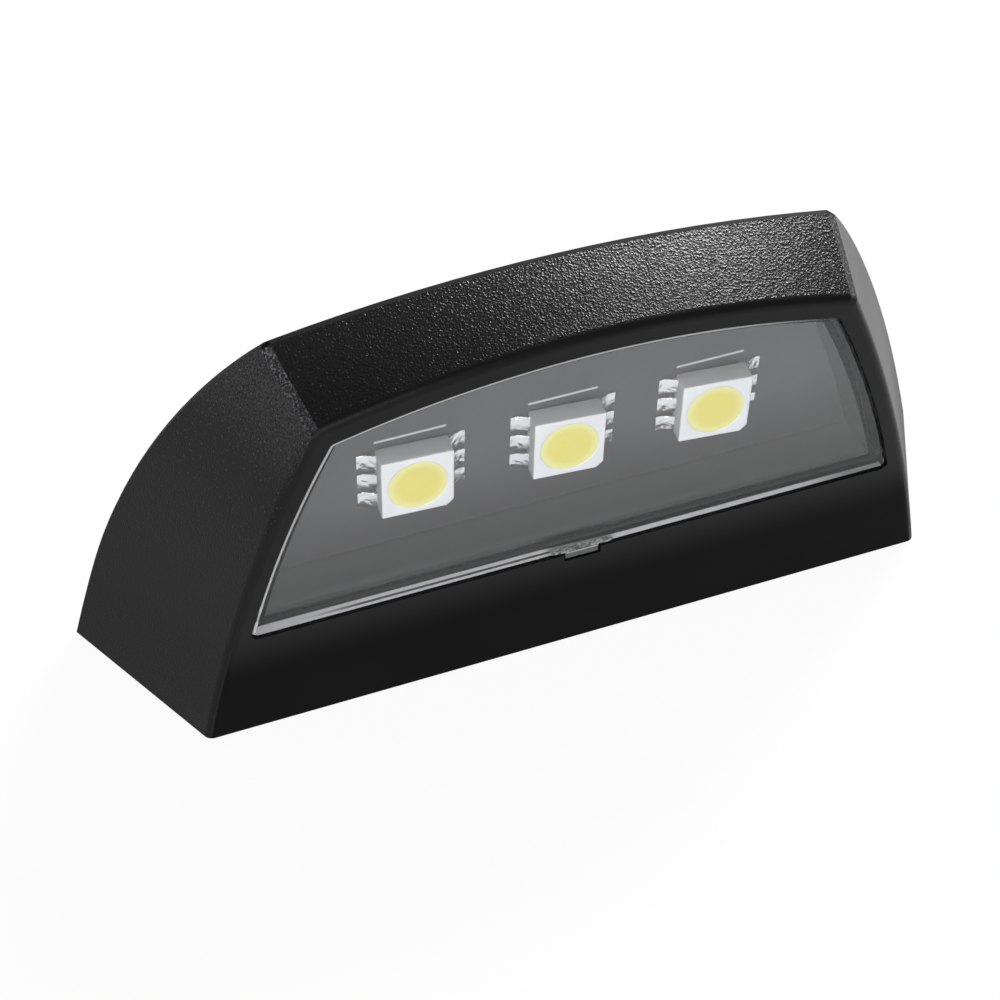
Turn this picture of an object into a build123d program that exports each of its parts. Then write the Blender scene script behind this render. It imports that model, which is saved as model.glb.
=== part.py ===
from build123d import *
import math
import os

# Number plate lamp: a hood that stands on its fixing face, with the lens upright at its front.
# Millimetres. X runs along the lamp, Y from the lens to the back, Z up from the fixing face.
# Depth is counted from the front face, and the origin lies under the middle of the hood.

# Hood, outside
body_depth = 13.0
base_width_front = 54.5
base_width_back = 67.2
waist_z = 12.85
waist_width_front = 47.6
waist_width_back = 58.5
shoulder_z = 26.15
shoulder_width_front = 36.8
shoulder_width_back = 46.4
top_front_crown_z = 28.45
top_front_drop = 2.4
ridge_depth = 6.5
ridge_crown_z = 30.15
ridge_drop = 1.5
arch_half_span = 18.4
back_straight_z = 11.95
edge_r = 0.7
edge_break = 0.4

# Hood, inside
wall = 1.7
rim_wall = 0.9
frame_wall = 1.2
ledge_width = 1.1
ledge_thickness = 1.2

# Lens window in the front face
window_sill_z = 8.85
window_sill_width = 47.4
window_mid_z = 17.0
window_mid_width = 42.1
window_corner_z = 24.7
window_corner_width = 35.0
window_crown_z = 26.9
window_corner_r = 0.5

# Lens
lens_clearance = 0.08
lens_recess = 0.1
lens_plate = 1.6
lens_skirt_wall = 0.9
lens_edge_chamfer = 0.2
gate_width = 2.4
gate_height = 0.45
gate_depth = 0.7
gate_clearance = 0.15

# Circuit board and the lights on it
board_depth = 5.4
board_thickness = 1.6
board_clearance = 0.15
led_row_z = 16.25
led_pitch = 10.8
led_tilts = {"left": 3.0, "middle": 4.5, "right": 5.5}
led_side = 5.0
led_height = 1.6
led_corner_cut = 0.65
led_cup_d = 4.1
led_cup_depth = 0.7
led_fill_recess = 0.05
led_fill_clearance = 0.02
lead_width = 0.95
lead_pitch = 1.7
lead_reach = 1.3
lead_height = 0.95
lead_toe = 0.15
lead_tuck = 0.4
lead_hollow = 0.25

# Parts on the back of the board
resistor_length = 3.2
resistor_width = 1.6
resistor_height = 0.6
resistor_row_z = 19.15
diode_length = 4.4
diode_width = 2.6
diode_height = 2.1
diode_z = 13.15
diode_edge_r = 0.3

# Fixing points in the base
fixing_pitch = 40.0
thread_d = 4.0
insert_d = 5.6
insert_length = 6.5
insert_clearance = 0.03
insert_pilot = 0.5
boss_d = 8.0
rib_thickness = 1.4

# Base cover and cord inlet
cover_thickness = 2.0
cover_clearance = 0.1
inlet_bore = 4.4
inlet_neck_d = 6.6
inlet_flange_d = 9.0
inlet_flange = 0.9
inlet_recess = 0.1
inlet_clearance = 0.05

# Worked out from the sizes above. Forms that are cut back later run past the hood.
side_of = {"left": -1, "middle": 0, "right": 1}
board_back = board_depth + board_thickness
frame_back = board_back + ledge_thickness
shelf_z = window_sill_z - frame_wall
past = body_depth / 10
foot_z = -0.2 * ridge_crown_z
head_z = 1.25 * ridge_crown_z
cutter_z = 3 * ridge_crown_z
cutter_x = base_width_back


def at_depth(depth):
    """Plane parallel to the front face, seen from the front: local x is X and local y is Z."""
    return Plane.XZ.offset(body_depth / 2 - depth)


def slab(sketch, near, far):
    """Extrude a front-view outline between two depths."""
    return extrude(at_depth(far) * sketch, far - near)


def layer(low, high):
    """Wide block between two heights, to keep a slice of the hood."""
    block = Box(2 * base_width_back, 3 * body_depth, high - low)
    return Pos(0, 0, (low + high) / 2) * block


def arch_radius(drop):
    """Radius of an arch that falls by drop at the half span."""
    return (arch_half_span**2 + drop**2) / (2 * drop)


def blend(front, back, depth, back_depth):
    """Value at a depth on the straight line between a front and a back value."""
    return front + (back - front) * depth / back_depth


def curved_back(inset):
    """Side profile with the curved back, turned about a far axis so that the ridge is arched."""
    rise = ridge_crown_z - back_straight_z
    run = body_depth - ridge_depth
    back_r = (rise**2 + run**2) / (2 * run)
    centre = body_depth - back_r
    radius = back_r - inset
    sweep = math.acos((inset - centre) / radius)
    tip = (inset, back_straight_z + radius * math.sin(sweep))
    elbow = (centre + radius * math.cos(sweep / 2), back_straight_z + radius * math.sin(sweep / 2))
    heel = (body_depth - inset, back_straight_z)
    outline = Line((inset, foot_z), tip) + ThreePointArc(tip, elbow, heel)
    outline += Line(heel, (body_depth - inset, foot_z))
    outline += Line((body_depth - inset, foot_z), (inset, foot_z))
    side = Plane((0, -body_depth / 2, 0), x_dir=(0, 1, 0), z_dir=(1, 0, 0))
    axis_z = ridge_crown_z - arch_radius(ridge_drop)
    axis = Axis((0, 0, axis_z), (0, 1, 0))
    half_turn = math.degrees(math.asin(base_width_back / 2 / (foot_z - axis_z)))
    turned = revolve(side * make_face(outline), axis, 2 * half_turn)
    return turned.rotate(axis, -half_turn)


def above_top(inset):
    """Everything above the sloping top, ruled between its front arch and a wider arch behind."""
    slope = (ridge_crown_z - top_front_crown_z) / ridge_depth
    lowered = inset * math.hypot(1, slope)
    half = cutter_x / 2
    sections = []
    for depth in (-past, ridge_depth + past):
        crown = blend(top_front_crown_z, ridge_crown_z, depth, ridge_depth) - lowered
        radius = arch_radius(blend(top_front_drop, ridge_drop, depth, ridge_depth))
        foot = crown - radius + math.sqrt(radius**2 - half**2)
        outline = ThreePointArc((-half, foot), (0, crown), (half, foot))
        outline += Line((half, foot), (half, cutter_z))
        outline += Line((half, cutter_z), (-half, cutter_z))
        outline += Line((-half, cutter_z), (-half, foot))
        sections.append(at_depth(depth) * make_face(outline))
    return loft(sections, ruled=True)


def end_x(depth, height):
    """Half width of the hood at a depth and a height: a shallow curve through three widths."""
    low = blend(base_width_front, base_width_back, depth, body_depth) / 2
    mid = blend(waist_width_front, waist_width_back, depth, body_depth) / 2
    high = blend(shoulder_width_front, shoulder_width_back, depth, body_depth) / 2
    from_low = height * (mid - low) / waist_z
    bow = ((high - low) / shoulder_z - (mid - low) / waist_z) / (shoulder_z - waist_z)
    return low + from_low + bow * height * (height - waist_z)


def beyond_end(inset):
    """Everything outside the slanted right end."""
    flare = (base_width_back - base_width_front) / 2 / body_depth
    lean = (base_width_front - shoulder_width_front) / 2 / shoulder_z
    moved = inset * math.hypot(1, flare, lean)
    heights = (foot_z, (foot_z + head_z) / 2, head_z)
    sections = []
    for depth in (-past, body_depth + past):
        points = [(end_x(depth, z) - moved, z) for z in heights]
        outline = ThreePointArc(*points)
        outline += Line(points[2], (cutter_x, head_z))
        outline += Line((cutter_x, head_z), (cutter_x, foot_z))
        outline += Line((cutter_x, foot_z), points[0])
        sections.append(at_depth(depth) * make_face(outline))
    return loft(sections, ruled=True)


def hood(inset):
    """The hood's form, moved in from its front, top, ends and back. It runs below the base."""
    end = beyond_end(inset)
    return curved_back(inset) - above_top(inset) - end - mirror(end, Plane.YZ)


def softened(form):
    """Break the hood's edges behind its front, then round the rim of the front face."""
    base = form.edges().group_by(Axis.Z)[0]
    tangent = form.edges().filter_by(GeomType.CIRCLE)
    rim = form.faces().sort_by(Axis.Y)[0].edges()
    form = chamfer(form.edges() - base - tangent - rim, edge_break)
    front = form.faces().sort_by(Axis.Y)[0].edges()
    return fillet(front - front.group_by(Axis.Z)[0], edge_r)


def disc(first, second, third, grow):
    """Disc whose rim runs through three points, made larger by grow."""
    rim = ThreePointArc(first, second, third)
    return Pos(rim.arc_center.X, rim.arc_center.Y) * Circle(rim.radius + grow)


def window(grow=0.0):
    """Outline of the lens window, grown or shrunk all round: three large discs meet above the sill."""
    sill = (window_sill_width / 2, window_sill_z)
    mid = (window_mid_width / 2, window_mid_z)
    corner = (window_corner_width / 2, window_corner_z)
    right = disc(sill, mid, corner, grow)
    top = disc(corner, (0, window_crown_z), (-corner[0], corner[1]), grow)
    above_sill = Pos(0, window_sill_z - grow + cutter_z / 2) * Rectangle(2 * cutter_x, cutter_z)
    face = right & mirror(right, Plane.YZ) & top & above_sill
    corner_r = window_corner_r + grow
    return fillet(face.vertices(), corner_r) if corner_r > 0 else face


def upright(diameter, low, high, x):
    """Cylinder on the middle line of the base, between two heights."""
    return Pos(x, 0, low) * extrude(Circle(diameter / 2), high - low)


def base_opening(inset, low, high):
    """Slice of the hood's form at the base."""
    return hood(inset) & layer(low, high)


def gate_block(grow, near):
    """Where the lens was fed in its mould: a nub on the middle of its lower edge."""
    block = Rectangle(gate_width + 2 * grow, 2 * (gate_height + grow))
    return slab(Pos(0, window_sill_z) * block, near, lens_recess + gate_depth + grow)


def make_housing():
    shell = softened(hood(0) & layer(0, cutter_z))
    frame = slab(window(frame_wall), 0, frame_back)
    cavity = hood(wall)
    shell -= cavity - frame
    shell -= base_opening(rim_wall, foot_z, cover_thickness)
    for x in (-fixing_pitch / 2, fixing_pitch / 2):
        rib = Box(rib_thickness, body_depth - wall, shelf_z - cover_thickness)
        shell += upright(boss_d, 0, shelf_z, x)
        shell += Pos(x, 0, (shelf_z + cover_thickness) / 2) * rib
        shell -= upright(insert_d, 0, insert_length + insert_pilot, x)
    shell -= slab(window(), -past, board_back)
    shell -= slab(window(-ledge_width), board_back, frame_back) & cavity
    return shell - gate_block(gate_clearance, -past)


def make_lens():
    outline = window(-lens_clearance)
    plate_back = lens_recess + lens_plate
    lens = slab(outline, lens_recess, board_depth)
    front_edges = lens.edges().group_by(Axis.Y)[0]
    lens = chamfer(front_edges, lens_edge_chamfer)
    lens -= slab(window(-lens_clearance - lens_skirt_wall), plate_back, board_depth)
    return lens + gate_block(0, lens_recess)


def make_board():
    return slab(window(-board_clearance), board_depth, board_back)


def led_place(side):
    """Spot on the front of the board, with its own z towards the lens."""
    return at_depth(board_depth) * Pos(side_of[side] * led_pitch, led_row_z)


def led_pose(side):
    """How a light sits on its spot: its left edge is down, and solder lifts its right edge."""
    hinge = led_side / 2
    return led_place(side) * Pos(-hinge, 0, 0) * Rot(0, -led_tilts[side], 0) * Pos(hinge, 0, 0)


def make_led_body():
    body = extrude(Rectangle(led_side, led_side), led_height)
    marked = body.edges().filter_by(Axis.Z).sort_by(lambda edge: edge.center().X - edge.center().Y)[-1]
    body = chamfer(marked, led_corner_cut)
    cup = extrude(Circle(led_cup_d / 2), led_cup_depth)
    return body - Pos(0, 0, led_height - led_cup_depth) * cup


def make_led_phosphor():
    fill = extrude(Circle(led_cup_d / 2 - led_fill_clearance), led_cup_depth - led_fill_recess)
    return Pos(0, 0, led_height - led_cup_depth) * fill


def make_led_leads(side, body):
    """Six bent leads with their solder: hollow wedges from the board up to the sides of the body."""
    heel = -lead_tuck
    tip = (lead_reach, lead_toe)
    wedge = Line((heel, 0), (lead_reach, 0)) + Line((lead_reach, 0), tip)
    wedge += SagittaArc(tip, (0, lead_height), lead_hollow)
    wedge += Line((0, lead_height), (heel, lead_height)) + Line((heel, lead_height), (heel, 0))
    section = Plane((led_side / 2, lead_width / 2, 0), x_dir=(1, 0, 0), z_dir=(0, -1, 0))
    lead = extrude(section * make_face(wedge), lead_width)
    right = [Pos(0, step * lead_pitch, 0) * lead for step in (-1, 0, 1)]
    left = [mirror(one, Plane.YZ) for one in right]
    cut = [led_place(side) * one - body for one in right + left]
    return Compound(children=[one.solids().sort_by(SortBy.VOLUME)[-1] for one in cut])


def on_board_back(x, z):
    """Place on the back of the board, with its own z away from the lens."""
    return Pos(x, board_back - body_depth / 2, z) * Rot(-90, 0, 0)


def make_resistor():
    return extrude(Rectangle(resistor_length, resistor_width), resistor_height)


def make_diode():
    body = extrude(Rectangle(diode_length, diode_width), diode_height)
    return fillet(body.edges().filter_by(Axis.Z), diode_edge_r)


def make_insert():
    """Brass bush that takes a fixing screw."""
    bush = upright(insert_d - 2 * insert_clearance, 0, insert_length, 0)
    return bush - upright(thread_d, 0, insert_length, 0)


def make_base_cover():
    cover = base_opening(rim_wall + cover_clearance, 0, cover_thickness)
    for x in (-fixing_pitch / 2, fixing_pitch / 2):
        cover -= upright(boss_d + 2 * cover_clearance, 0, cover_thickness, x)
    cover -= upright(inlet_neck_d + 2 * inlet_clearance, 0, cover_thickness, 0)
    return cover - upright(inlet_flange_d + 2 * inlet_clearance, 0, inlet_recess + inlet_flange, 0)


def make_grommet():
    """Rubber ring that grips the cover between two flanges."""
    grommet = upright(inlet_flange_d, inlet_recess, inlet_recess + inlet_flange, 0)
    grommet += upright(inlet_neck_d, inlet_recess, cover_thickness + inlet_flange, 0)
    grommet += upright(inlet_flange_d, cover_thickness, cover_thickness + inlet_flange, 0)
    return grommet - upright(inlet_bore, 0, cover_thickness + inlet_flange, 0)


parts = {
    "housing": make_housing(),
    "lens": make_lens(),
    "circuit_board": make_board(),
    "base_cover": make_base_cover(),
    "cable_grommet": make_grommet(),
    "rectifier_diode": on_board_back(0, diode_z) * make_diode(),
}
for side in side_of:
    body = led_pose(side) * make_led_body()
    parts[f"led_body_{side}"] = body
    parts[f"led_phosphor_{side}"] = led_pose(side) * make_led_phosphor()
    parts[f"led_leads_{side}"] = make_led_leads(side, body)
    parts[f"resistor_{side}"] = on_board_back(side_of[side] * led_pitch, resistor_row_z) * make_resistor()
for side in ("left", "right"):
    parts[f"threaded_insert_{side}"] = Pos(side_of[side] * fixing_pitch / 2, 0, 0) * make_insert()

os.makedirs("parts", exist_ok=True)
for name, shape in parts.items():
    export_step(shape, f"parts/{name}.step")
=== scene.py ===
# %% [markdown]
# # Number plate lamp
# A small lamp that is screwed to a car above or beside the number plate. A black moulded hood stands on
# its flat base, a clear lens closes the window in its front, and three square lights sit on a grey board
# behind the lens. The solids come ready made. This lesson gives every surface its finish, adds the small
# forms that a solid model leaves out, and sets up the camera and the light.

# %% Load the solids
import math

import bpy
from mathutils import Euler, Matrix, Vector


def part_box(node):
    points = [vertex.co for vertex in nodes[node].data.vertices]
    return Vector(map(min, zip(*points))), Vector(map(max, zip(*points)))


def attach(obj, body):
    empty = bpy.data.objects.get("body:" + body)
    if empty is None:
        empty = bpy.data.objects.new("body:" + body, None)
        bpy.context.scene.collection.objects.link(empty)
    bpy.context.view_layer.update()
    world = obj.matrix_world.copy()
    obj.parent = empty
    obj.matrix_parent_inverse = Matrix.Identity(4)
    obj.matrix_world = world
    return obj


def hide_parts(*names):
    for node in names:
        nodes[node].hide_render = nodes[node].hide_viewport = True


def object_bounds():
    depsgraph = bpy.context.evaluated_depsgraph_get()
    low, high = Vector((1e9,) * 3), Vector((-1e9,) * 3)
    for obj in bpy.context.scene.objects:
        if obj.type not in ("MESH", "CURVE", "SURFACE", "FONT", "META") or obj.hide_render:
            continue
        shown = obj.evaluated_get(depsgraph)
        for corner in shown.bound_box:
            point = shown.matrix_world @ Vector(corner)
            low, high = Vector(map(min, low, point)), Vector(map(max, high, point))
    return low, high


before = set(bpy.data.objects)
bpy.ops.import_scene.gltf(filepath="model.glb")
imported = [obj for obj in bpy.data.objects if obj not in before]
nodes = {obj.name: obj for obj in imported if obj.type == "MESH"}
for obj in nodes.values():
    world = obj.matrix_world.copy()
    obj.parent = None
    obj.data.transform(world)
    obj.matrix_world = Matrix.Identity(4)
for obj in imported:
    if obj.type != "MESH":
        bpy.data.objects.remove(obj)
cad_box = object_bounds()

MM = 0.001
SIDES = ("left", "middle", "right")
print("solids:", len(nodes), "size in mm:", [round(s / MM, 1) for s in cad_box[1] - cad_box[0]])

# %% [markdown]
# ## Shader maths
# A finish is a small sum: a mask times a colour, plus some grain. Wiring each sum by hand in the node
# editor is slow to read, so this class wraps a socket and lets Python's own operators add the Math nodes.
# Every other node comes from `make`, which sets the node's options first and then its sockets.

# %% A socket that can be used in sums


class Signal:
    """A socket in a node tree. Signal(tree) alone is a place to start from."""

    def __init__(self, tree, socket=None):
        self.tree = tree
        self.socket = socket

    def make(self, kind, out=0, settings=None, inputs=None):
        """Add a node, set its options, fill or link its sockets, and return one of its outputs."""
        node = self.tree.nodes.new(kind)
        for name, value in (settings or {}).items():
            setattr(node, name, value)
        for name, value in (inputs or {}).items():
            if isinstance(value, Signal):
                self.tree.links.new(value.socket, node.inputs[name])
            else:
                node.inputs[name].default_value = value
        return Signal(self.tree, node.outputs[out] if node.outputs else None)

    def sum(self, operation, left, right=0.0):
        return self.make("ShaderNodeMath", settings={"operation": operation}, inputs={0: left, 1: right})

    def __add__(self, other):
        return self.sum("ADD", self, other)

    def __radd__(self, other):
        return self.sum("ADD", other, self)

    def __sub__(self, other):
        return self.sum("SUBTRACT", self, other)

    def __rsub__(self, other):
        return self.sum("SUBTRACT", other, self)

    def __mul__(self, other):
        return self.sum("MULTIPLY", self, other)

    def __rmul__(self, other):
        return self.sum("MULTIPLY", other, self)

    def __abs__(self):
        return self.sum("ABSOLUTE", self)

    def ramp(self, low, high):
        """0 below low, 1 above high, and smooth between. With low above high it falls instead."""
        ends = {"Value": self, "From Min": low, "From Max": high}
        return self.make("ShaderNodeMapRange", settings={"interpolation_type": "SMOOTHSTEP"}, inputs=ends)

    def mix(self, first, second):
        """Two colours, mixed by this signal as the share of the second."""
        return self.make("ShaderNodeMix", out=2, settings={"data_type": "RGBA"},
                         inputs={0: self, 6: first, 7: second})

    def blend(self, first, second):
        """Two shaders, mixed by this signal as the share of the second."""
        return self.make("ShaderNodeMixShader", inputs={0: self, 1: first, 2: second})

    def tint(self, blue):
        """A grey of this value, with a little more or less blue."""
        return self.make("ShaderNodeCombineColor", inputs={0: self, 1: self, 2: self * blue})


def new_finish(name):
    """An empty material, and a Signal to start its sums from."""
    material = bpy.data.materials.new(name)
    material.use_nodes = True
    material.node_tree.nodes.clear()
    return material, Signal(material.node_tree)


def close_finish(start, shader):
    start.make("ShaderNodeOutputMaterial", inputs={"Surface": shader})


def surface_of(start, inputs):
    """The one shader that does for plastic, metal, rubber and glass."""
    return start.make("ShaderNodeBsdfPrincipled", inputs=inputs)


def position_mm(start, centre=(0.0, 0.0, 0.0)):
    """Where a point lies on the lamp, in millimetres from a centre."""
    place = start.make("ShaderNodeTexCoord", out="Object")
    scaled = start.make("ShaderNodeVectorMath", settings={"operation": "SCALE"},
                        inputs={0: place, "Scale": 1 / MM})
    return start.make("ShaderNodeVectorMath", settings={"operation": "SUBTRACT"},
                      inputs={0: scaled, 1: centre})


def facing(start):
    """The way a face points."""
    return start.make("ShaderNodeNewGeometry", out="Normal")


def axes(vector):
    return [vector.make("ShaderNodeSeparateXYZ", out=k, inputs={0: vector}) for k in range(3)]


def noise(place, per_mm, detail=2.0, roughness=0.5):
    return place.make("ShaderNodeTexNoise", inputs={
        "Vector": place, "Scale": per_mm, "Detail": detail, "Roughness": roughness})


def bump(height, depth_mm):
    return height.make("ShaderNodeBump", inputs={
        "Height": height, "Distance": depth_mm * MM, "Strength": 1.0})


def rgb(r, g, b):
    return (r, g, b, 1.0)


def centre_mm(name):
    low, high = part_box(name)
    return (low + high) / 2 / MM


def dress(finish, *names):
    for name in names:
        nodes[name].data.materials.clear()
        nodes[name].data.materials.append(finish)
    print(finish.name, "on", len(names), "nodes")


# %% [markdown]
# ## Black moulded plastic
# The steel mould of the hood was left rough by spark erosion where the top is, finer on the ends and the
# back, and was polished to a satin on the front frame. All of it is one moulding, so it gets one material:
# the way a face points says which zone it belongs to. The grain is bump, because its pits are only a fifth
# of a millimetre wide.
#
# One shine isn't enough. The crests of the grain on top are rubbed glossy and the pits between them stay
# dull, so the top mixes two shaders by the grain itself. The edge between the top and each end gets a painted
# highlight, the ends are painted paler toward the top, and bright points of painted glint are scattered over
# the grain. The lower part of the front frame and the edges at the rear are dull.

# %% Hood finish
GRAIN_PER_MM = 6.4
FINE_PER_MM = 8.0
GLINTS_PER_MM = 4.6
CLOUDS_PER_MM = 0.12
GRAIN_DEPTH = 0.055
GLINT_SHARE = 0.40
PAINTED_GLINT_GREY = 0.08
BLUE_CAST = 1.06
SATIN_ROUGH = 0.38
SATIN_SHINE = 0.17
CREST_SHINE = 0.5
DULL_ROUGH = 0.55
DULL_SHINE = 0.02


def painted_glints(place, share):
    """Tiny bright points painted into the colour: a painted glint where single pits of the grain would catch
    the light.
    """
    dots = {"Vector": place, "Scale": GLINTS_PER_MM}
    near = place.make("ShaderNodeTexVoronoi", out="Distance", inputs=dots)
    chance = axes(place.make("ShaderNodeTexVoronoi", out="Color", inputs=dots))[0]
    return near.ramp(0.26, 0.12) * chance.ramp(1 - share, 1 - share / 2)


def hood_plastic():
    finish, start = new_finish("hood_plastic")
    place = position_mm(start)
    _, depth, height = axes(place)
    x, y, z = axes(facing(start))
    sideways = abs(x)

    # Zones, by the way a face points
    top = z.ramp(0.84, 0.93) * y.ramp(0.10, -0.05)
    ends = sideways.ramp(0.45, 0.60)
    back = y.ramp(0.25, 0.55) * (1 - ends)
    front = (0 - y).ramp(0.90, 0.97)
    arris = sideways.ramp(0.45, 0.52) * sideways.ramp(0.80, 0.72) * z.ramp(0.50, 0.60) * y.ramp(0.05, -0.05)
    rear_edge = y.ramp(0.05, 0.15) * sideways.ramp(0.30, 0.40) * sideways.ramp(0.86, 0.80)

    # Grain
    coarse = noise(place, GRAIN_PER_MM, detail=1.0)
    fine = noise(place, FINE_PER_MM, roughness=0.55)
    cloud = noise(place, CLOUDS_PER_MM)
    sparkle = coarse.ramp(0.32, 0.64)
    relief = bump(top * coarse + (ends + back) * fine * 0.55 + front * fine * 0.06, GRAIN_DEPTH)

    # Colour and roughness
    # Painted glint: bright points added to the colour of the ends, back and top, more of them higher up.
    glint_zones = (ends + 0.25 * back + 0.6 * top) * height.ramp(10.0, 25.0)
    painted_glint = painted_glints(place, GLINT_SHARE) * glint_zones * PAINTED_GLINT_GREY
    # Painted highlight: the ends are painted paler toward their top, where more light reaches them.
    painted_upper_highlight = ends * height.ramp(20.0, 28.0) * (0.008 + 0.05 * fine.ramp(0.42, 0.62))
    # Painted highlight on the edge between the top and each end, paler toward the top and back.
    painted_edge_highlight = arris * (0.006 + 0.13 * coarse.ramp(0.48, 0.68)) * (0.6 + 0.6 * height.ramp(26.0, 28.2))
    colour = (0.002 + 0.003 * cloud + painted_glint + painted_upper_highlight + painted_edge_highlight).tint(BLUE_CAST)
    rough = SATIN_ROUGH - 0.17 * top * sparkle - 0.06 * ends + 0.03 * cloud

    # Three shines, and where the dull one shows
    satin, crests, dull = [
        surface_of(start, {"Base Color": colour, "Roughness": roughness, "Specular IOR Level": shine,
                           "Normal": relief})
        for roughness, shine in ((rough, SATIN_SHINE), (rough, CREST_SHINE), (DULL_ROUGH, DULL_SHINE))]
    ridge = depth.ramp(-6.0, 0.5)
    pits = top * (1 - 0.25 * ridge - sparkle * (0.46 + 0.29 * ridge))
    dull_share = front * height.ramp(10.0, 5.0) * 0.85 + pits * 0.75 + rear_edge * 0.9
    dull_share = dull_share + ends * (1 - rear_edge) * (0.05 + 0.35 * height.ramp(16.0, 2.0))
    close_finish(start, dull_share.blend(top.blend(satin, crests), dull))
    return finish


dress(hood_plastic(), "housing")

# %% [markdown]
# ## Clear lens
# The lens is a shallow tray of clear plastic, pushed into its window from the front. Light has to get in
# to the board, and a refracting surface blocks the rays that look for the lamps, so the lens lets those
# shadow rays pass straight through.
#
# Its lower edge is frosted, and the small chamfer round its face is frosted too; the frost has a faint
# painted glow, so both show as pale lines. On the left of the gate the lower line is split by a clear one.
# The floor of the tray is hazy.

# %% Lens finish
LENS_IOR = 1.5
GATE_HEIGHT = 0.45
PAINTED_FROST_GLOW = 0.08
RIM_SHARE = 0.55
BENT_SHARE = 0.3
lens_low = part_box("lens")[0]
lens_front = lens_low.y / MM
lens_sill = lens_low.z / MM + GATE_HEIGHT


def lens_frost(start, x, inset, rise):
    """How much of the lens is frosted, from the place along it, behind its face and above its sill."""
    inward = inset + 0.6 * x.ramp(-4.0, 4.0)
    lower = rise.ramp(0.14, 0.11) * inward.ramp(1.90, 1.75)
    lower = lower * (0.35 + 0.65 * abs(x).ramp(1.8, 2.8))
    lower = lower * (1 - 0.6 * x.ramp(16.0, 21.0))
    split = inset.ramp(0.75, 0.85) * inset.ramp(1.25, 1.15) * x.ramp(-21.0, -15.0) * x.ramp(-1.0, -2.0)
    lower = lower * (1 - 0.9 * split)
    rim = inset.ramp(0.01, 0.03) * inset.ramp(0.13, 0.10) * x.ramp(20.0, 8.0)
    hazy = (0.05 * inset.ramp(1.9, 2.2) - 0.03 * inset.ramp(2.4, 3.0)) * rise.ramp(1.15, 1.0)
    return start.sum("MAXIMUM", start.sum("MAXIMUM", lower, rim * RIM_SHARE), hazy)


def lens_plastic():
    finish, start = new_finish("lens_plastic")
    x, y, z = axes(position_mm(start))
    inset = y - lens_front
    rise = z - lens_sill
    clear = surface_of(start, {
        "Base Color": rgb(0.98, 0.99, 1.0), "Roughness": 0.02 + 0.28 * inset.ramp(1.6, 2.2),
        "IOR": LENS_IOR, "Transmission Weight": 1.0})
    bent = start.make("ShaderNodeBsdfRefraction", inputs={
        "Color": rgb(0.9, 0.91, 0.92), "Roughness": 0.02, "IOR": LENS_IOR})
    # The frost glows a little: a painted glow that brightens the pale lines, though the lens is no lamp.
    glowing_frost = surface_of(start, {
        "Base Color": rgb(0.95, 0.96, 0.96), "Roughness": 0.45,
        "Emission Color": rgb(0.95, 0.98, 1.0), "Emission Strength": PAINTED_FROST_GLOW})
    torn = surface_of(start, {"Base Color": rgb(0.20, 0.20, 0.20), "Roughness": 0.5})
    through = start.make("ShaderNodeBsdfTransparent", inputs={"Color": rgb(0.92, 0.93, 0.94)})
    # Painted shade: toward the sill the lens mixes in a refraction shader with no reflection, which darkens
    # it there.
    inner = (rise.ramp(5.0, 1.2) * BENT_SHARE).blend(clear, bent)
    edge = rise.ramp(0.02, -0.02).blend(glowing_frost, torn)
    surface = lens_frost(start, x, inset, rise).blend(inner, edge)
    shadow = start.make("ShaderNodeLightPath", out="Is Shadow Ray")
    close_finish(start, shadow.blend(surface, through))
    return finish


dress(lens_plastic(), "lens")

# %% [markdown]
# ## Circuit board
# The board has a matte grey mask over its copper, painted darker toward the lens sill as painted shade in
# the tray. A thin white line is printed above each light, to show where it goes. Print is flat, so it is a
# mask in the board's material and not a piece.

# %% Board finish
LED_SIDE = 5.0
LED_HEIGHT = 1.6
PRINT_GAP = 0.55
PRINT_WIDTH = 0.18
PRINT_BLUR = 0.03
led_centres = {side: centre_mm(f"led_leads_{side}") for side in SIDES}
print_z = led_centres["left"].z + LED_SIDE / 2 + PRINT_GAP


def within(distance, width):
    """1 inside a band of this width, and 0 outside, with a slightly soft edge."""
    return distance.ramp(width / 2 + PRINT_BLUR, width / 2 - PRINT_BLUR)


def board_mask():
    finish, start = new_finish("board_mask")
    place = position_mm(start)
    x, _, z = axes(place)
    span = 0.0
    for centre in led_centres.values():
        span = span + within(abs(x - centre.x), LED_SIDE)
    printed = within(abs(z - print_z), PRINT_WIDTH) * span
    cloud = noise(place, 0.3)
    # Painted shade: the grey falls to about a third toward the sill, where less light reaches the board.
    light = 0.35 + 0.65 * z.ramp(lens_sill + 1.0, led_centres["left"].z)
    grey = (0.064 + 0.02 * cloud) * light
    colour = printed.mix(grey.tint(BLUE_CAST), rgb(0.58, 0.59, 0.61))
    close_finish(start, surface_of(start, {
        "Base Color": colour, "Roughness": 0.5, "Specular IOR Level": 0.3}))
    return finish


dress(board_mask(), "circuit_board")

# %% [markdown]
# ## Light packages
# Each light is a small white block, moulded round its leads, with one corner cut to mark a pole and a round
# cup in its face. The block's soft edges show up close, and a bevel on a loose solid is hard to control,
# so the block is modelled here: a cube at its real size, one bevelled corner, a cone cut out of its face
# with a Boolean, and a small Bevel on all that is left. One block is modelled and the others are copies.

# %% Helpers for modelling by hand
SHARP_DEGREES = 35
SMOOTH_DEGREES = 40


def deselect():
    bpy.ops.object.select_all(action="DESELECT")


def only(piece):
    """Select one piece and nothing else, because edit mode opens all that is selected."""
    deselect()
    piece.select_set(True)
    bpy.context.view_layer.objects.active = piece


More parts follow.
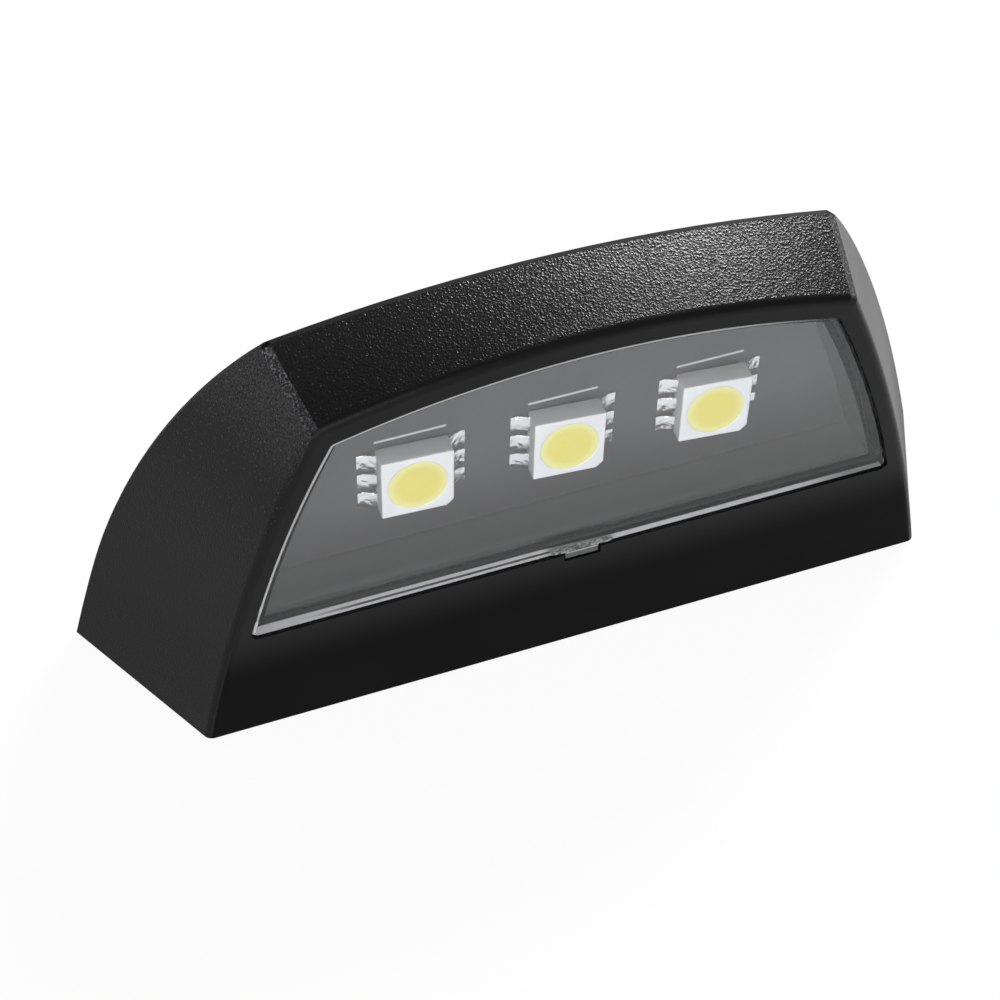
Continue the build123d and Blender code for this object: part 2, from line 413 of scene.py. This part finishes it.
def pick(piece, kind, test):
    """Open a piece in edit mode with only the edges or polygons selected whose middle passes a test."""
    only(piece)
    bpy.context.tool_settings.mesh_select_mode = (False, kind == "edges", kind == "polygons")
    mesh = piece.data
    for part in (mesh.vertices, mesh.edges, mesh.polygons):
        part.foreach_set("select", [False] * len(part))
    for item in getattr(mesh, kind):
        points = [mesh.vertices[v].co / MM for v in item.vertices]
        item.select = test(sum(points, Vector()) / len(points))
    bpy.ops.object.mode_set(mode="EDIT")


def everything(piece):
    """Open a piece in edit mode with all of it selected."""
    only(piece)
    bpy.ops.object.mode_set(mode="EDIT")
    bpy.ops.mesh.select_all(action="SELECT")


def leave():
    bpy.ops.object.mode_set(mode="OBJECT")


def add_block(name, low, high):
    """A cube that fills a box given in millimetres, with its place in its mesh."""
    deselect()
    low, high = Vector(low), Vector(high)
    bpy.ops.mesh.primitive_cube_add(size=1.0, location=(low + high) / 2 * MM)
    block = bpy.context.object
    block.name = name
    block.scale = (high - low) * MM
    bpy.ops.object.transform_apply(location=True, rotation=True, scale=True)
    return block


def apply_modifier(piece, kind, **settings):
    only(piece)
    modifier = piece.modifiers.new(kind.title(), kind)
    for name, value in settings.items():
        setattr(modifier, name, value)
    bpy.ops.object.modifier_apply(modifier=modifier.name)


def soften(piece, width, segments=3):
    """Round the sharp edges of a piece, and shade what is left smooth."""
    apply_modifier(piece, "BEVEL", width=width * MM, segments=segments, limit_method="ANGLE",
                   angle_limit=math.radians(SHARP_DEGREES))
    bpy.ops.object.shade_smooth_by_angle(angle=math.radians(SMOOTH_DEGREES))


def copy_of(piece, name):
    twin = piece.copy()
    twin.data = piece.data.copy()
    twin.name = name
    bpy.context.scene.collection.objects.link(twin)
    return twin


def finish_piece(piece, finish, *stands_for):
    piece.data.materials.clear()
    piece.data.materials.append(finish)
    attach(piece, "root")
    if stands_for:
        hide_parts(*stands_for)
    print(piece.name, "faces:", len(piece.data.polygons))


# %% One white block
CORNER_CUT = 0.5
CUP_TOP = 4.1
CUP_FLOOR = 3.5
CUP_DEPTH = 0.7
CUP_SIDES = 64
BLOCK_EDGE = 0.12
board_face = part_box("circuit_board")[0].y / MM
first = led_centres["left"]
block_middle = board_face - LED_HEIGHT / 2
block = add_block("light_block_left",
                  (first.x - LED_SIDE / 2, board_face - LED_HEIGHT, first.z - LED_SIDE / 2),
                  (first.x + LED_SIDE / 2, board_face, first.z + LED_SIDE / 2))
pick(block, "edges", lambda middle: middle.x > first.x + 2 and middle.z < first.z - 2
     and abs(middle.y - block_middle) < 0.1)
bpy.ops.mesh.bevel(offset=CORNER_CUT * MM, segments=1, affect="EDGES")
leave()

deselect()
cup_middle = board_face - LED_HEIGHT + CUP_DEPTH / 2
bpy.ops.mesh.primitive_cone_add(vertices=CUP_SIDES, radius1=CUP_TOP / 2 * MM, radius2=CUP_FLOOR / 2 * MM,
                                depth=CUP_DEPTH * MM, rotation=(math.radians(-90), 0, 0),
                                location=Vector((first.x, cup_middle, first.z)) * MM)
cup = bpy.context.object
apply_modifier(block, "BOOLEAN", object=cup, operation="DIFFERENCE", solver="EXACT")
bpy.data.objects.remove(cup)
soften(block, BLOCK_EDGE)
print("block faces:", len(block.data.polygons))

# %% [markdown]
# ## Seating the blocks
# Solder lifts the right edge of each block a little, by a different amount on each. The tilt can be read
# back from the solid: a block of known side and height that is turned fills a deeper box.

# %% Copy and tilt the blocks


def tilt_of(side):
    low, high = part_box(f"led_body_{side}")
    depth = (high.y - low.y) / MM
    reach = math.hypot(LED_SIDE, LED_HEIGHT)
    return math.asin(depth / reach) - math.atan2(LED_HEIGHT, LED_SIDE)


def package_white():
    finish, start = new_finish("package_white")
    cloud = noise(position_mm(start), 1.2)
    # Painted shade: the sides and top of each block are painted greyer than its front face, where less light
    # falls.
    face = (0 - axes(facing(start))[1]).ramp(0.3, 0.9)
    colour = (0.54 + 0.24 * face + 0.06 * cloud).tint(1.02)
    close_finish(start, surface_of(start, {"Base Color": colour, "Roughness": 0.4}))
    return finish


white = package_white()
blocks = {"left": block}
for side in SIDES[1:]:
    blocks[side] = copy_of(block, f"light_block_{side}")
for side, piece in blocks.items():
    solid = f"led_body_{side}"
    centre = led_centres[side]
    everything(piece)
    bpy.ops.transform.translate(value=(centre - first) * MM)
    hinge = Vector((centre.x - LED_SIDE / 2, board_face, centre.z)) * MM
    bpy.ops.transform.rotate(value=tilt_of(side), orient_axis="Z", center_override=hinge)
    leave()
    dress(white, solid)
    finish_piece(piece, white, solid)
    solid_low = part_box(solid)[0]
    corners = [piece.matrix_world @ Vector(corner) for corner in piece.bound_box]
    off = max(abs(min(c[k] for c in corners) - solid_low[k]) for k in range(3)) / MM
    print(side, "tilt", round(math.degrees(tilt_of(side)), 1), "off the solid by", round(off, 2), "mm")

# %% [markdown]
# ## Phosphor
# The cup is filled with a clear gel full of yellow phosphor. It looks palest at its rim, where the white
# wall of the cup shines through the thinner gel.

# %% Phosphor finish


def phosphor_gel(side):
    finish, start = new_finish(f"phosphor_gel_{side}")
    x, _, z = axes(position_mm(start, centre_mm(f"led_phosphor_{side}")))
    radius = start.sum("SQRT", x * x + z * z)
    edge = radius.ramp(1.3, CUP_TOP / 2)
    colour = edge.mix(rgb(0.80, 0.70, 0.13), rgb(0.84, 0.82, 0.33))
    close_finish(start, surface_of(start, {
        "Base Color": colour, "Roughness": 0.35, "Coat Weight": 0.3, "Coat Roughness": 0.1}))
    return finish


for side in SIDES:
    dress(phosphor_gel(side), f"led_phosphor_{side}")

# %% [markdown]
# ## Soldered leads
# Six tinned leads hold each block to the board. Solder has run up every lead and left a hollow wedge. One
# wedge is cut from a cube: its outer edge is pushed down to a thin toe, the slope is divided and pressed
# in, and the edges are softened. Two copies above and below make a row, and a half turn makes the other row.

# %% One lead, copied round each block
LEAD_WIDTH = 1.25
LEAD_PITCH = 1.7
LEAD_REACH = 1.3
LEAD_TUCK = 0.4
LEAD_RISE = 0.95
LEAD_TOE = 0.15
LEAD_HOLLOW = 0.22
LEAD_EDGE = 0.08
HOLLOW_MARGIN = 0.3


def tinned_lead():
    finish, start = new_finish("tinned_lead")
    wave = noise(position_mm(start), 2.2)
    close_finish(start, surface_of(start, {
        "Base Color": rgb(0.82, 0.83, 0.84), "Metallic": 1.0, "Roughness": 0.10 + 0.18 * wave,
        "Normal": bump(wave, 0.16)}))
    return finish


heel_x = first.x - LED_SIDE / 2 + LEAD_TUCK
toe_x = first.x - LED_SIDE / 2 - LEAD_REACH
lead_middle = (toe_x + heel_x) / 2
lead_top = board_face - LEAD_RISE
lead = add_block("solder_leads_left", (toe_x, lead_top, first.z - LEAD_WIDTH / 2),
                 (heel_x, board_face, first.z + LEAD_WIDTH / 2))
pick(lead, "edges", lambda middle: middle.x < toe_x + 0.01 and middle.y < lead_top + 0.01)
bpy.ops.transform.translate(value=(0, (LEAD_RISE - LEAD_TOE) * MM, 0))
leave()
pick(lead, "edges", lambda middle: abs(middle.x - lead_middle) < 0.05 and middle.y < board_face - 0.1)
bpy.ops.mesh.subdivide(number_cuts=3)
leave()
pick(lead, "edges", lambda middle: toe_x + HOLLOW_MARGIN < middle.x < heel_x - HOLLOW_MARGIN
     and abs(middle.z - first.z) < 0.01 and middle.y < board_face - 0.1)
bpy.ops.transform.translate(value=(0, LEAD_HOLLOW * MM, 0))
leave()
soften(lead, LEAD_EDGE, segments=2)
everything(lead)
bpy.ops.mesh.duplicate_move(TRANSFORM_OT_translate={"value": (0, 0, LEAD_PITCH * MM)})
bpy.ops.mesh.duplicate_move(TRANSFORM_OT_translate={"value": (0, 0, -2 * LEAD_PITCH * MM)})
bpy.ops.mesh.select_all(action="SELECT")
bpy.ops.mesh.duplicate()
bpy.ops.transform.rotate(value=math.pi, orient_axis="Y", center_override=first * MM)
leave()

tin = tinned_lead()
leads = {"left": lead}
for side in SIDES[1:]:
    leads[side] = copy_of(lead, f"solder_leads_{side}")
    everything(leads[side])
    bpy.ops.transform.translate(value=(led_centres[side] - first) * MM)
    leave()
for side in SIDES:
    dress(tin, f"led_leads_{side}")
    finish_piece(leads[side], tin, f"led_leads_{side}")

# %% [markdown]
# ## Gate mark
# The lens was filled through its lower edge, and the plug of plastic was snapped off there. The break is
# ragged and cloudy, so a cube is divided, its two ends are pinched, and its points are moved at random,
# always by the same seed, so that the lesson gives the same mark every time.

# %% Ragged stub at the gate
GATE_WIDTH = 4.4
GATE_DEPTH = 0.7
GATE_RISE = 0.45
GATE_DROP = 0.3
GATE_PINCH = 0.15
GATE_LIFT = 0.2
GATE_CUTS = 9
GATE_RAGGED = 0.09
GATE_SEED = 4


def broken_plastic():
    finish, start = new_finish("broken_plastic")
    cracks = noise(position_mm(start), 4.0, detail=3.0)
    colour = (0.12 + 0.45 * cracks.ramp(0.40, 0.65)).tint(1.02)
    close_finish(start, surface_of(start, {"Base Color": colour, "Roughness": 0.4}))
    return finish


stub = add_block("gate_stub", (-GATE_WIDTH / 2, lens_front, lens_sill - GATE_DROP),
                 (GATE_WIDTH / 2, lens_front + GATE_DEPTH, lens_sill + GATE_RISE))
pick(stub, "polygons", lambda middle: abs(middle.x) > GATE_WIDTH / 2 - 0.01)
bpy.ops.transform.resize(value=(1, 1, GATE_PINCH))
bpy.ops.transform.translate(value=(0, 0, GATE_LIFT * MM))
leave()
everything(stub)
bpy.ops.mesh.subdivide(number_cuts=GATE_CUTS)
bpy.ops.transform.vertex_random(offset=GATE_RAGGED * MM, uniform=0.5, seed=GATE_SEED)
leave()
finish_piece(stub, broken_plastic())

# %% [markdown]
# ## Screw threads
# Two brass bushes in the base take the fixing screws. A thread is one small section wound round an axis,
# which is what the Screw modifier does. A diamond on its point makes a ridge that meets itself at each turn.

# %% Threads in the brass bushes
THREAD_PITCH = 0.7
THREAD_TURNS = 8
THREAD_STEPS = 32
THREAD_START = 0.05
BORE_R = 2.0
deselect()
bpy.ops.mesh.primitive_circle_add(vertices=4, radius=THREAD_PITCH / 2 * MM, rotation=(math.radians(90), 0, 0),
                                  location=Vector((BORE_R, 0, THREAD_PITCH / 2 + THREAD_START)) * MM)
thread = bpy.context.object
thread.name = "screw_thread_left"
bpy.ops.object.transform_apply(location=True, rotation=True, scale=True)
apply_modifier(thread, "SCREW", axis="Z", screw_offset=THREAD_PITCH * MM, iterations=THREAD_TURNS,
               steps=THREAD_STEPS, render_steps=THREAD_STEPS)
everything(thread)
bpy.ops.mesh.remove_doubles(threshold=0.001 * MM)
bpy.ops.mesh.select_all(action="SELECT")
bpy.ops.mesh.fill_holes(sides=4)
bpy.ops.mesh.select_all(action="SELECT")
bpy.ops.mesh.normals_make_consistent(inside=False)
leave()


def turned_brass():
    finish, start = new_finish("turned_brass")
    height = axes(position_mm(start))[2]
    rings = start.make("ShaderNodeTexNoise", inputs={
        "Vector": start.make("ShaderNodeCombineXYZ", inputs={2: height}), "Scale": 9.0, "Detail": 2.0})
    close_finish(start, surface_of(start, {
        "Base Color": rgb(0.80, 0.58, 0.25), "Metallic": 1.0, "Roughness": 0.20 + 0.15 * rings,
        "Normal": bump(rings, 0.02)}))
    return finish


brass = turned_brass()
dress(brass, "threaded_insert_left", "threaded_insert_right")
bush_low, bush_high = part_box("threaded_insert_left")
bush_x = (bush_low.x + bush_high.x) / 2
other_thread = copy_of(thread, "screw_thread_right")
for piece, x in ((thread, bush_x), (other_thread, -bush_x)):
    everything(piece)
    bpy.ops.transform.translate(value=(x, 0, 0))
    leave()
    finish_piece(piece, brass)

# %% [markdown]
# ## Hidden pieces
# The cover, the rubber inlet for the cord and the parts behind the board are plain black. Rubber is the
# dullest, and the resistors have tinned caps at their ends, where they are soldered.

# %% Finishes under the lamp and behind the board
CAP_LENGTH = 0.5
CAP_BLUR = 0.03


def plain_finish(name, grey, rough):
    finish, start = new_finish(name)
    grain = noise(position_mm(start), 5.0)
    close_finish(start, surface_of(start, {
        "Base Color": rgb(grey, grey, grey * 1.05), "Roughness": rough + 0.12 * grain,
        "Specular IOR Level": 0.3, "Normal": bump(grain, 0.03)}))
    return finish


def resistor_glaze(side):
    low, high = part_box(f"resistor_{side}")
    cap_start = (high.x - low.x) / 2 / MM - CAP_LENGTH
    finish, start = new_finish(f"resistor_glaze_{side}")
    along = abs(axes(position_mm(start, (low + high) / 2 / MM))[0])
    cap = along.ramp(cap_start - CAP_BLUR, cap_start + CAP_BLUR)
    colour = cap.mix(rgb(0.012, 0.012, 0.014), rgb(0.80, 0.80, 0.80))
    close_finish(start, surface_of(start, {"Base Color": colour, "Metallic": cap, "Roughness": 0.3}))
    return finish


dress(plain_finish("cover_plastic", 0.010, 0.45), "base_cover")
dress(plain_finish("grommet_rubber", 0.014, 0.65), "cable_grommet")
dress(plain_finish("diode_resin", 0.012, 0.50), "rectifier_diode")
for side in SIDES:
    dress(resistor_glaze(side), f"resistor_{side}")

# %% [markdown]
# ## Floor and room
# The lamp stands on white paper that fills the picture. Paper that is only lit would come out grey, so the
# rays that show it directly see it at full white, mixed with the lit paper so that the shadow stays.

# %% White paper
FLOOR_SIZE = 4.0
FLOOR_GAP = 0.02
WHITE_SHARE = 0.94
deselect()
bpy.ops.mesh.primitive_plane_add(size=FLOOR_SIZE, location=(0, 0, -FLOOR_GAP * MM))
floor = bpy.context.object
floor.name = "floor"


def floor_paper():
    finish, start = new_finish("floor_paper")
    paper = start.make("ShaderNodeBsdfDiffuse", inputs={"Color": rgb(0.9, 0.9, 0.9)})
    white = start.make("ShaderNodeEmission", inputs={"Color": rgb(1, 1, 1), "Strength": 1.0})
    shown = start.make("ShaderNodeLightPath", out="Is Camera Ray")
    for kind in ("Is Glossy Ray", "Is Transmission Ray"):
        shown = start.sum("MAXIMUM", shown, start.make("ShaderNodeLightPath", out=kind))
    close_finish(start, (shown * WHITE_SHARE).blend(paper, white))
    return finish


floor.data.materials.append(floor_paper())
print("floor:", floor.dimensions.x, "m wide")

# %% Soft light from all round
ROOM_LIGHT = 0.28
world = bpy.data.worlds.new("studio")
bpy.context.scene.world = world
world.use_nodes = True
world.node_tree.nodes.clear()
sky = Signal(world.node_tree)
room = sky.make("ShaderNodeBackground", inputs={"Color": rgb(1, 1, 1), "Strength": ROOM_LIGHT})
sky.make("ShaderNodeOutputWorld", inputs={"Surface": room})
print("room light:", ROOM_LIGHT)

# %% [markdown]
# ## Lamps
# Two soft boxes light the lamp. The key stands in front and to the left and fills the lens. The other
# hangs behind and to the right, where the right half of the arched top mirrors it, so that the grain
# glitters there and the left half stays dark.

# %% Soft boxes
middle = (cad_box[0] + cad_box[1]) / 2


def soft_box(name, place, width, power):
    data = bpy.data.lights.new(name, "AREA")
    data.shape = "RECTANGLE"
    data.size = width
    data.size_y = width
    data.energy = power
    lamp = bpy.data.objects.new(name, data)
    bpy.context.scene.collection.objects.link(lamp)
    lamp.location = place
    lamp.rotation_euler = (middle - Vector(place)).to_track_quat("-Z", "Y").to_euler()
    print(name, "at", place, "power", power)


soft_box("key", (-0.12, -0.33, 0.144), 0.18, 0.60)
soft_box("right", (0.34, 0.30, 0.38), 0.22, 4.2)

# %% [markdown]
# ## Camera
# The photograph was taken from the front, a little to the left and from well above. The camera's place,
# turn and lens were found by matching the corners of the hood.

# %% Camera
CAMERA_MM = (-43.595, -97.731, 116.368)
CAMERA_TURN = (44.476, -1.074, -21.177)
CAMERA_LENS = 77.35
CAMERA_SENSOR = 36.0
CAMERA_NEAR = 0.01
camera_data = bpy.data.cameras.new("camera")
camera_data.lens = CAMERA_LENS
camera_data.sensor_width = CAMERA_SENSOR
camera_data.clip_start = CAMERA_NEAR
camera = bpy.data.objects.new("camera", camera_data)
bpy.context.scene.collection.objects.link(camera)
camera.location = Vector(CAMERA_MM) * MM
camera.rotation_euler = Euler([math.radians(turn) for turn in CAMERA_TURN], "XYZ")
bpy.context.scene.camera = camera
bpy.context.scene.view_settings.view_transform = "Standard"
print("camera:", CAMERA_MM, "mm")
